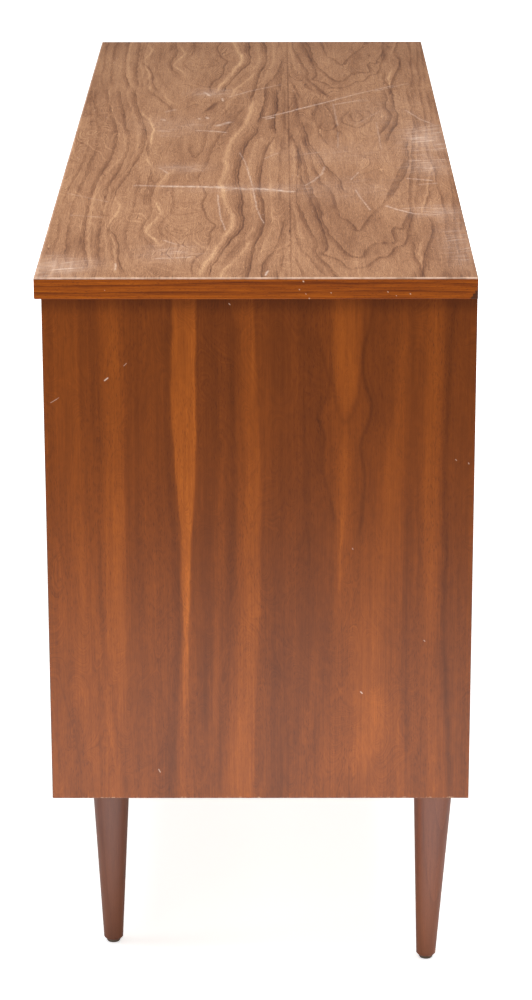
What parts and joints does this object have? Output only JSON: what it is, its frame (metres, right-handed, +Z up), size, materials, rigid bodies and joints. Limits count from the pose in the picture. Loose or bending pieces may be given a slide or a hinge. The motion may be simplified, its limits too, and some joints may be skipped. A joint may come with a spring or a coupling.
{
  "type": "console television cabinet",
  "caption": "Low console television cabinet with a laminate top, veneered ends, turned tapered legs, a screen between speaker grilles, and turning control knobs.",
  "frame": {"origin": "on the floor, under the middle of the whole object's length and depth", "axes": "+X along the length towards the end seen in the picture, which is on the viewer's right from the front; -Y is the front; +Z is up"},
  "size_m": [1.29, 0.444, 0.731],
  "materials": {
    "top_laminate": "satin printed walnut laminate",
    "panel_veneer": "satin walnut veneer",
    "edge_veneer": "satin walnut veneer",
    "leg_wood": "satin lacquered hardwood",
    "front_wood": "satin walnut",
    "carcass_board": "raw chipboard and softwood",
    "hardboard": "matt pressed hardboard",
    "grille_fabric": "woven",
    "safety_glass": "tinted plate",
    "tube_glass": "grey phosphor-coated glass",
    "valve_glass": "silvered glass",
    "mask": "matt",
    "gold_trim": "satin anodised gold",
    "control_plate": "brushed anodised",
    "knob_plastic": "moulded",
    "knob_gold": "satin metallised",
    "lamp_jewel": "translucent",
    "zinc_steel": "zinc plated",
    "dark_steel": "satin black",
    "chassis_steel": "cadmium plated",
    "speaker_paper": "pressed paper",
    "ferrite": "matt",
    "winding": "varnished copper winding",
    "phenolic": "moulded phenolic",
    "cord_rubber": "matt",
    "lead_sleeve": "matt",
    "glide_steel": "worn nickel",
    "can_aluminium": "drawn can"
  },
  "bodies": {
    "cabinet": {"back_cover": "hardboard", "back_cover_screws": "zinc_steel", "bottom_panel": "carcass_board", "cleats_and_blocks": "carcass_board", "control_bracket": "chassis_steel", "control_panel": "control_plate", "crt_faceplate": "tube_glass", "crt_funnel": "tube_glass", "crt_neck_cover": "phenolic", "crt_rim_strap": "zinc_steel", "crt_socket": "phenolic", "deflection_yoke": "winding", "end_panel_left": "panel_veneer", "end_panel_right": "panel_veneer", "filter_capacitors": "can_aluminium", "flyback_transformer": "ferrite", "front_mullions": "front_wood", "front_rails": "front_wood", "grille_cloths": "grille_fabric", "grille_slats": "front_wood", "high_voltage_cage": "chassis_steel", "leg_front_left": "leg_wood", "leg_front_right": "leg_wood", "leg_glides": "glide_steel", "leg_hanger_bolts": "zinc_steel", "leg_plates": "zinc_steel", "leg_rear_left": "leg_wood", "leg_rear_right": "leg_wood", "partitions": "carcass_board", "picture_mask": "mask", "pilot_lamp": "lamp_jewel", "potentiometers": "chassis_steel", "power_cord": "cord_rubber", "power_transformer": "dark_steel", "rear_terminals": "phenolic", "safety_glass": "safety_glass", "screen_trim": "gold_trim", "speaker_baffles": "carcass_board", "top_core": "carcass_board", "top_edge_bands": "edge_veneer", "top_laminate": "top_laminate", "tuner_housings": "chassis_steel", "tv_chassis": "chassis_steel", "tweeters": "dark_steel", "vacuum_tubes": "valve_glass", "wiring_harness": "lead_sleeve", "wood_screws": "zinc_steel", "woofer_baskets": "dark_steel", "woofer_cones": "speaker_paper", "woofer_magnets": "ferrite"},
    "channel_selector": {"channel_knob": "knob_plastic", "channel_shaft_and_drum": "zinc_steel"},
    "fine_tuning": {"fine_tuning_knob": "knob_gold"},
    "uhf_tuning": {"uhf_knob": "knob_plastic"},
    "volume": {"volume_knob": "knob_gold"},
    "tone": {"tone_knob": "knob_gold"},
    "brightness": {"brightness_knob": "knob_plastic"},
    "contrast": {"contrast_knob": "knob_plastic"},
    "vertical_hold": {"vertical_hold_knob": "knob_plastic"},
    "horizontal_hold": {"horizontal_hold_knob": "knob_plastic"}
  },
  "joints": [
    {"name": "channel_selector_turn", "type": "hinge", "parent": "cabinet", "child": "channel_selector", "pos_m": [0.281, -0.2035, 0.601], "axis": [0, 1, 0], "continuous": true},
    {"name": "fine_tuning_turn", "type": "hinge", "parent": "cabinet", "child": "fine_tuning", "pos_m": [0.281, -0.2035, 0.601], "axis": [0, 1, 0], "continuous": true},
    {"name": "uhf_tuning_turn", "type": "hinge", "parent": "cabinet", "child": "uhf_tuning", "pos_m": [0.281, -0.2035, 0.501], "axis": [0, 1, 0], "range_deg": [-150, 150]},
    {"name": "volume_turn", "type": "hinge", "parent": "cabinet", "child": "volume", "pos_m": [0.254, -0.2035, 0.418], "axis": [0, 1, 0], "range_deg": [-145, 145]},
    {"name": "tone_turn", "type": "hinge", "parent": "cabinet", "child": "tone", "pos_m": [0.308, -0.2035, 0.418], "axis": [0, 1, 0], "range_deg": [-145, 145]},
    {"name": "brightness_turn", "type": "hinge", "parent": "cabinet", "child": "brightness", "pos_m": [0.254, -0.2035, 0.36], "axis": [0, 1, 0], "range_deg": [-140, 140]},
    {"name": "contrast_turn", "type": "hinge", "parent": "cabinet", "child": "contrast", "pos_m": [0.308, -0.2035, 0.36], "axis": [0, 1, 0], "range_deg": [-140, 140]},
    {"name": "vertical_hold_turn", "type": "hinge", "parent": "cabinet", "child": "vertical_hold", "pos_m": [0.254, -0.2035, 0.308], "axis": [0, 1, 0], "range_deg": [-140, 140]},
    {"name": "horizontal_hold_turn", "type": "hinge", "parent": "cabinet", "child": "horizontal_hold", "pos_m": [0.308, -0.2035, 0.308], "axis": [0, 1, 0], "range_deg": [-140, 140]}
  ]
}
